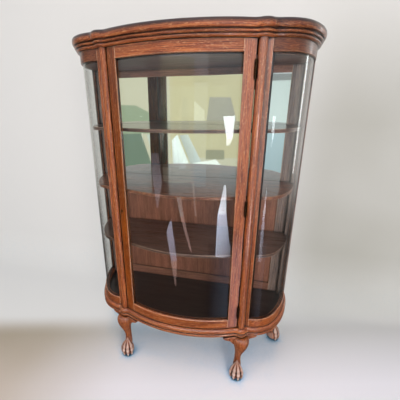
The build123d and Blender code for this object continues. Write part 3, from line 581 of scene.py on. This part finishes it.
# frame: varnish whole and glossy, lying thickest on the hinge side
oakUp = oakMaterial("quartered_oak_upright", "up", contrast=1.25, tone=0.97, coat=0.2)
oakRightUp = oakMaterial("quartered_oak_upright_faded", "up", tone=0.98, coat=0.13, varnish="thickVarnish")
oakBow = oakMaterial("quartered_oak_bowed_rail", "bow", contrast=1.25, tone=0.95, edgeWidth=0.0036,
                     rubbedAndHighlight=1.0)
oakRightSide = oakMaterial("quartered_oak_right_bend", "rightSide")
oakLeftSide = oakMaterial("quartered_oak_left_bend", "leftSide")
# the cornice's sides are toned darker than its front, the right side most, as painted shade where they turn
# from the light
oakCornice = {side: oakMaterial("quartered_oak_cornice_" + side, side, lip=lipBand, rubbedAndHighlight=0.35,
                                tone=tone, contrast=1.3, depth=0.97)
              for side, tone in (("bow", 1.0), ("rightSide", 0.6), ("leftSide", 0.88))}
# the side friezes are toned dark as painted shade where they turn from the light
oakSideFrieze = {side: oakMaterial("oak_frieze_painted_shade_" + side, side, tone=0.45, coat=0.2)
                 for side in ("rightSide", "leftSide")}
# rails and stile that hands and cloths have worn along their edges, with a painted highlight on those edges;
# the lock stile toned darker as painted shade, the left side rail a little darker and the right a little
# lighter, as painted shade and light
oakWornAndPaintedLight = {side: oakMaterial("rubbed_oak_rail_painted_light_" + side, side, rubbedAndHighlight=1.0, edgeWidth=0.0042, tone=tone,
                             contrast=1.2, depth=depth)
           for side, tone, depth in (("bow", 1.0, 1.0), ("rightSide", 1.08, 1.0), ("leftSide", 0.95, 1.0),
                                     ("up", 0.7, 1.08))}
# waxed shelves, and the duller wood inside and behind, toned darker as painted shade inside the case, the
# upper and lower shelf most
oakShelf = oakMaterial("waxed_oak_shelf", "flat", tone=0.75, gloss=0.3, coat=0.1, contrast=0.7, depth=0.8)
oakLowShelf = oakMaterial("waxed_oak_shelf_painted_shade", "flat", tone=0.42, gloss=0.3, coat=0.1, contrast=0.5,
                          depth=0.55)
oakInside = oakMaterial("oak_back_panel", "up", tone=0.9, gloss=0.5, rubbedAndHighlight=0.3, contrast=0.4, depth=0.8)
oakBackRail = oakMaterial("oak_back_rail", "across", tone=0.85, gloss=0.45, rubbedAndHighlight=0.3, contrast=0.6,
                          depth=0.75)
oakCeiling = oakMaterial("dull_oak_ceiling", "flat", tone=0.78, gloss=0.6, rubbedAndHighlight=0.2, coat=0.4, depth=0.6)
# the floor board is toned near black, its dark partly painted shade inside the case
oakFloor = oakMaterial("dark_floor_board_painted_shade", "flat", tone=0.09, gloss=0.4, rubbedAndHighlight=0.0, contrast=0.3,
                       depth=0.35)
# the rear posts are toned darker and greyer as painted shade behind the side glass
oakRear = oakMaterial("grey_oak_rear_posts_painted_shade", "up", tone=0.72, depth=0.35)
oakAcross = oakMaterial("quartered_oak_across", "across")
print("oak made")


glazing = {
    "clear": "#fcfdfc", "silver": "#e9ebe4", "rebate": "#4a4238",
    "waveSize": 111.1, "waveDepth": 0.001, "waveStrength": 0.1,      # millimetres, metres and share
    # metres in from the mirror's lower and upper end: where the dark of the rebate starts and is full
    "lowRebate": (0.009, 0.004), "highRebate": (0.006, 0.002),
}


def glassMaterial(name, gloss=0.04):
    # soda lime window glass, bent over a mould: clear, slightly uneven, a little gloss on both faces
    made, tree = newMaterial(name)
    place = addNode(tree, "ShaderNodeTexCoord").outputs["Object"]
    waves = addNode(tree, "ShaderNodeTexNoise", {
        "Vector": place, "Scale": 1 / (glazing["waveSize"] * mm), "Detail": 1.0})
    bump = addNode(tree, "ShaderNodeBump", {
        "Height": waves.outputs[0], "Strength": glazing["waveStrength"], "Distance": glazing["waveDepth"]})
    shine = addNode(tree, "ShaderNodeBsdfGlossy", {"Color": linear("#ffffff"), "Roughness": 0.01,
                                                   "Normal": bump.outputs[0]})
    through = addNode(tree, "ShaderNodeBsdfTransparent", {"Color": linear(glazing["clear"])})
    facing = addNode(tree, "ShaderNodeLayerWeight", {"Blend": 0.5}).outputs["Facing"]
    slanted = addNode(tree, "ShaderNodeMath", {0: facing, 1: 5.0}, operation="POWER")
    share = addNode(tree, "ShaderNodeMapRange", {0: slanted.outputs[0], 3: gloss})
    surface = addNode(tree, "ShaderNodeMixShader", {
        0: share.outputs[0], 1: through.outputs[0], 2: shine.outputs[0]})
    addNode(tree, "ShaderNodeOutputMaterial", {"Surface": surface.outputs[0]})
    return made


def mirrorMaterial():
    # silvered float glass: nearly neutral, a breath of grey green from the glass, dark along the rebate
    made, tree = newMaterial("silvered_mirror_glass")
    place = addNode(tree, "ShaderNodeTexCoord").outputs["Object"]
    height = addNode(tree, "ShaderNodeSeparateXYZ", {0: place}).outputs["Z"]
    bottom, top = (corner.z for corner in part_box("mirror"))
    low, high = (addNode(tree, "ShaderNodeMapRange", {0: height, 1: start, 2: full}).outputs[0]
                 for start, full in ([bottom + part for part in glazing["lowRebate"]],
                                     [top - part for part in glazing["highRebate"]]))
    dark = addNode(tree, "ShaderNodeMath", {0: low, 1: high}, operation="MAXIMUM")
    color = addNode(tree, "ShaderNodeMix", {0: dark.outputs[0], 6: linear(glazing["silver"]),
                                            7: linear(glazing["rebate"])}, data_type="RGBA")
    surface = addNode(tree, "ShaderNodeBsdfPrincipled", {
        "Base Color": color.outputs[2], "Metallic": 1.0, "Roughness": 0.025})
    addNode(tree, "ShaderNodeOutputMaterial", {"Surface": surface.outputs[0]})
    return made


brassLook = {
    "metal": "#5a4630", "tarnish": "#2b2118",
    "spotSize": 8.333,        # millimetres
}


def brassMaterial():
    # rolled brass, brown and uneven with age
    made, tree = newMaterial("aged_brass")
    place = addNode(tree, "ShaderNodeTexCoord").outputs["Object"]
    tarnish = addNode(tree, "ShaderNodeTexNoise", {
        "Vector": place, "Scale": 1 / (brassLook["spotSize"] * mm), "Detail": 4.0})
    color = addNode(tree, "ShaderNodeMix", {0: tarnish.outputs[0], 6: linear(brassLook["metal"]),
                                            7: linear(brassLook["tarnish"])}, data_type="RGBA")
    surface = addNode(tree, "ShaderNodeBsdfPrincipled", {
        "Base Color": color.outputs[2], "Metallic": 1.0, "Roughness": 0.42})
    addNode(tree, "ShaderNodeOutputMaterial", {"Surface": surface.outputs[0]})
    return made


doorGlass = glassMaterial("bowed_window_glass")
sideGlass = glassMaterial("bent_side_glass", gloss=0.018)
mirror, brass = mirrorMaterial(), brassMaterial()
print("glass, mirror and brass made")

finishes = {
    oakRightUp: ("right_front_post", "door_hinge_stile"),
    oakUp: ("left_front_post", "front_left_leg", "front_right_leg", "rear_left_leg", "rear_right_leg"),
    oakRear: ("left_rear_post", "right_rear_post", "back_left_stile", "back_right_stile"),
    oakAcross: ("cornice_back_rail", "top_board", "base_frame"),
    oakBackRail: ("back_top_rail", "back_middle_rail", "back_bottom_rail"),
    oakBow: ("door_top_rail", "base_moulding_front", "front_top_rail", "door_glass_stops"),
    oakCornice["bow"]: ("cornice_front",),
    oakCornice["rightSide"]: ("cornice_right",),
    oakCornice["leftSide"]: ("cornice_left",),
    oakRightSide: ("base_moulding_right", "right_glass_stops"),
    oakLeftSide: ("base_moulding_left", "left_glass_stops"),
    oakSideFrieze["rightSide"]: ("right_side_top_rail",),
    oakSideFrieze["leftSide"]: ("left_side_top_rail",),
    oakWornAndPaintedLight["bow"]: ("door_bottom_rail",),
    oakWornAndPaintedLight["rightSide"]: ("right_side_bottom_rail",),
    oakWornAndPaintedLight["leftSide"]: ("left_side_bottom_rail",),
    oakWornAndPaintedLight["up"]: ("door_lock_stile",),
    oakCeiling: ("ceiling_board",),
    oakShelf: ("middle_shelf", "shelf_pins"),
    oakLowShelf: ("upper_shelf", "lower_shelf"),
    oakFloor: ("bottom_board",),
    oakInside: ("lower_back_panel", "mirror_backing"),
    doorGlass: ("door_glass",),
    sideGlass: ("left_side_glass", "right_side_glass"),
    mirror: ("mirror",),
    brass: ("case_hinge_leaves", "door_hinge_leaves", "hinge_pins", "case_hinge_screws", "door_hinge_screws",
            "lock_case", "lock_bolt", "strike_plate", "keyhole_escutcheon"),
}


# carved cabriole legs: a sawn and rasped body, wings glued on at the knee, and a ball held by five toes
legShape = {
    # millimetres
    "frontAnkle": (296.5, -110.7), "rearAnkle": (471.0, 169.0), "top": 248,
    # share of the height, outwards and inwards from the ankle, across the foot and along it
    "across": ((1.0, 46, 26), (0.91, 52, 29), (0.8, 47, 24), (0.7, 36, 18), (0.6, 25, 15), (0.5, 17.5, 14.5),
               (0.42, 15.5, 15), (0.33, 17, 17), (0.25, 21, 21), (0.18, 20, 20)),
    "along": ((1.0, 38, 27), (0.91, 44, 29), (0.8, 41, 24), (0.7, 33, 18), (0.6, 24, 15), (0.5, 17, 14.5),
              (0.42, 15.5, 15), (0.33, 20, 14.5), (0.25, 28, 12), (0.18, 36, 8)),
    "squareness": 0.78,       # 1 is round, less is fuller at the corners
    "bodySides": 16, "toeSides": 10,
    "ballRadius": 33, "ballReach": 20, "ballSink": 2,
    "toeTurns": (-62, -21, 21, 62),
    # toes: height, reach of the outer face, half width and half depth, in ball radii
    "toe": ((3.1, 0.02, 0.09, 0.14), (2.7, 0.24, 0.13, 0.16), (2.32, 0.58, 0.17, 0.18),
            (2.0, 0.82, 0.22, 0.22), (1.76, 0.97, 0.26, 0.25), (1.5, 1.02, 0.17, 0.18),
            (1.24, 1.17, 0.26, 0.23), (1.0, 1.12, 0.18, 0.18), (0.72, 1.10, 0.17, 0.17),
            (0.45, 1.07, 0.14, 0.15), (0.2, 0.98, 0.10, 0.11), (0.0, 0.84, 0.04, 0.05)),
    "heel": ((2.9, 0.92, 0.14, 0.24), (2.5, 1.04, 0.2, 0.26), (2.1, 1.14, 0.24, 0.26),
             (1.6, 1.05, 0.18, 0.2), (1.15, 1.19, 0.26, 0.23), (0.75, 1.08, 0.17, 0.17),
             (0.4, 1.04, 0.13, 0.14), (0.0, 0.84, 0.04, 0.05)),
    "toeSwell": (0.05, 1.3, 1.2),       # added to each reach, and times each half width and half depth
    # wings: outline from the ankle and below the top
    "wing": ((0, 0), (84, 0), (84, 6), (72, 15), (60, 19), (50, 25), (42, 34), (34, 46), (0, 46)),
    "wingThickness": 22, "wingRound": 3.0,
}

legSkin = {
    # metres, and the passes that take the voxels' steps off and that find what stands proud
    "voxel": 0.0016, "smoothing": 2, "easing": 30,
    "proud": 0.0009, "pawTop": 0.11, "pawFade": 0.04, "kneeShare": 0.1,
    # in parts of "proud": where the pale of wear with its painted highlight and the dark of dirt with its
    # painted shade start, how fast the dark grows, and the most of each
    "untouched": 0.1, "darkGain": 1.6, "paleMost": 0.8, "darkMost": 0.95,
}

legWings = {
    # place of the root on the plan and the way the wing runs, for the front and the rear right leg
    "front": (((296.5, -111.9, 0), 206), ((296.5, -101.7, 0), 8)),
    "rear": (((520.0, 169.0, 0), -100),),
}


def loft(mesh, matrices, segments, shape=None):
    # rings bridged into one closed skin
    rings = []
    for matrix in matrices:
        made = bmesh.ops.create_circle(mesh, segments=segments, radius=1.0, cap_ends=False)
        if shape:
            for vert in made["verts"]:
                vert.co.x, vert.co.y = (math.copysign(abs(part) ** shape, part) for part in vert.co.xy)
        bmesh.ops.transform(mesh, matrix=matrix, verts=made["verts"])
        rings.append(list(dict.fromkeys(edge for vert in made["verts"] for edge in vert.link_edges)))
    for lower, upper in zip(rings, rings[1:]):
        bmesh.ops.bridge_loops(mesh, edges=lower + upper)
    for ring in (rings[0], rings[-1]):
        bmesh.ops.edgeloop_fill(mesh, edges=ring)


def addToe(mesh, rows, turn):
    # one toe bent over the ball, turned about the ball's middle
    radius = legShape["ballRadius"]
    out = Vector((math.sin(turn), -math.cos(turn), 0))
    side, up = Vector((math.cos(turn), math.sin(turn), 0)), Vector((0, 0, 1))
    further, wider, deeper = legShape["toeSwell"]
    rows = [(rise, reach + further, wide * wider, deep * deeper) for rise, reach, wide, deep in rows]
    centres = [out * (reach - deep) + up * rise for rise, reach, wide, deep in rows]
    rings = []
    for at, (rise, reach, wide, deep) in enumerate(rows):
        before, after = centres[max(at - 1, 0)], centres[min(at + 1, len(rows) - 1)]
        run = (after - before).normalized()
        rings.append(axes(side * wide * radius, run.cross(side) * deep * radius, run * radius,
                          centres[at] * radius))
    loft(mesh, rings, legShape["toeSides"])


def addWing(mesh, at, turn):
    # flat bracket cut from a board, its edges rounded over
    half = legShape["wingThickness"] / 2
    verts = [mesh.verts.new((x, -half, legShape["top"] - drop)) for x, drop in legShape["wing"]]
    face = mesh.faces.new(verts)
    made = bmesh.ops.extrude_face_region(mesh, geom=[face])
    moved = [item for item in made["geom"] if isinstance(item, bmesh.types.BMVert)]
    bmesh.ops.translate(mesh, verts=moved, vec=(0, 2 * half, 0))
    allVerts = verts + moved
    bmesh.ops.transform(mesh, matrix=Matrix.Translation(at) @ Matrix.Rotation(math.radians(turn), 4, "Z"),
                        verts=allVerts)
    edges = list(dict.fromkeys(edge for vert in allVerts for edge in vert.link_edges))
    faces = list(dict.fromkeys(face for vert in allVerts for face in vert.link_faces))
    bmesh.ops.recalc_face_normals(mesh, faces=faces)
    bmesh.ops.bevel(mesh, geom=edges, offset=legShape["wingRound"], affect="EDGES", segments=2,
                    profile=0.5, material=-1)


def carveLeg(ankle, turned, mirrored, wings):
    # the leg before its skin, in metres: body, ball, toes and wings run through one another
    shape = legShape
    mesh, foot = bmesh.new(), bmesh.new()
    rings = []
    for (share, outX, inX), (_, outY, inY) in zip(shape["across"], shape["along"]):
        centre = Vector(((outX - inX) / 2, (inY - outY) / 2, share * shape["top"]))
        rings.append(axes(Vector(((outX + inX) / 2, 0, 0)), Vector((0, (outY + inY) / 2, 0)),
                          Vector((0, 0, 1)), centre))
    loft(mesh, rings, shape["bodySides"], shape["squareness"])
    ball = bmesh.ops.create_uvsphere(foot, u_segments=24, v_segments=16, radius=shape["ballRadius"])
    bmesh.ops.translate(foot, verts=ball["verts"], vec=(0, 0, shape["ballRadius"] - shape["ballSink"]))
    for turn in shape["toeTurns"]:
        addToe(foot, shape["toe"], math.radians(turn))
    addToe(foot, shape["heel"], math.pi)
    bmesh.ops.translate(foot, verts=foot.verts[:], vec=(0, -shape["ballReach"], 0))
    footData = bpy.data.meshes.new("foot")
    foot.to_mesh(footData)
    foot.free()
    mesh.from_mesh(footData)
    bpy.data.meshes.remove(footData)
    if turned:      # the rear foot faces the side
        bmesh.ops.scale(mesh, verts=mesh.verts[:], vec=(-1, 1, 1))
        bmesh.ops.rotate(mesh, verts=mesh.verts[:], cent=(0, 0, 0),
                         matrix=Matrix.Rotation(math.radians(turned), 3, "Z"))
    bmesh.ops.translate(mesh, verts=mesh.verts[:], vec=(ankle[0], ankle[1], 0))
    for at, turn in wings:
        addWing(mesh, at, turn)
    if mirrored:
        bmesh.ops.scale(mesh, verts=mesh.verts[:], vec=(-1, 1, 1))
    bmesh.ops.scale(mesh, verts=mesh.verts[:], vec=(mm, mm, mm))
    bmesh.ops.recalc_face_normals(mesh, faces=mesh.faces[:])
    return mesh


def skinned(mesh, name):
    # one carved skin over all of it
    block = addObject(name, mesh)
    rough = block.data
    finer = block.modifiers.new("finer", "SUBSURF")
    finer.levels = finer.render_levels = 2
    skin = block.modifiers.new("skin", "REMESH")
    skin.mode, skin.voxel_size, skin.use_smooth_shade = "VOXEL", legSkin["voxel"], True
    depsgraph = bpy.context.evaluated_depsgraph_get()
    carved = bpy.data.meshes.new_from_object(block.evaluated_get(depsgraph))
    bpy.data.objects.remove(block)
    bpy.data.meshes.remove(rough)
    mesh = bmesh.new()
    mesh.from_mesh(carved)
    bpy.data.meshes.remove(carved)
    return mesh


def soften(mesh, passes):
    for _ in range(passes):
        bmesh.ops.smooth_vert(mesh, verts=mesh.verts[:], factor=0.5, use_axis_x=True, use_axis_y=True,
                              use_axis_z=True)


def markWearAndPaintedLight(mesh):
    # what stands proud of a softened copy is rubbed pale with a painted highlight, what lies back is dark
    # with dirt and painted shade, most of all on the paw
    wearAndHighlight, dirtAndShade = mesh.verts.layers.float.new("wearAndHighlight"), mesh.verts.layers.float.new("dirtAndShade")
    skin = legSkin
    worn = mesh.copy()
    soften(worn, skin["easing"])
    for vert, low in zip(mesh.verts, worn.verts):
        proud = (vert.co - low.co).dot(vert.normal) / skin["proud"]
        share = min(max((skin["pawTop"] - vert.co.z) / skin["pawFade"], skin["kneeShare"]), 1.0)
        vert[wearAndHighlight] = min(max(proud - skin["untouched"], 0.0), 1.0) * skin["paleMost"] * share
        sunk = max(-proud * skin["darkGain"] - skin["untouched"], 0.0)
        vert[dirtAndShade] = min(sunk, skin["darkMost"]) * share
    worn.free()


def makeLeg(name, ankle, turned, mirrored, wings):
    mesh = skinned(carveLeg(ankle, turned, mirrored, wings), name + "_rough")
    soften(mesh, legSkin["smoothing"])
    cut = bmesh.ops.bisect_plane(mesh, geom=mesh.verts[:] + mesh.edges[:] + mesh.faces[:], plane_co=(0, 0, 0),
                                 plane_no=(0, 0, -1), clear_outer=True)
    rim = [item for item in cut["geom_cut"] if isinstance(item, bmesh.types.BMEdge)]
    bmesh.ops.edgeloop_fill(mesh, edges=rim)
    mesh.normal_update()
    markWearAndPaintedLight(mesh)
    for face in mesh.faces:
        face.smooth = True
    leg = addObject(name + "_carved", mesh)
    leg.data.materials.append(oakUp)
    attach(leg, "case")
    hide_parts(name)


def dressNodes():
    for finish, names in finishes.items():
        for name in names:
            data = nodes[name].data
            data.materials.clear()
            data.materials.append(finish)


dressNodes()
for side, mirrored in (("right", False), ("left", True)):
    makeLeg(f"front_{side}_leg", legShape["frontAnkle"], 0, mirrored, legWings["front"])
    makeLeg(f"rear_{side}_leg", legShape["rearAnkle"], 90, mirrored, legWings["rear"])
print("legs carved")
bare = [name for name in nodes if not any(name in names for names in finishes.values())]
print("nodes without a finish:", bare)
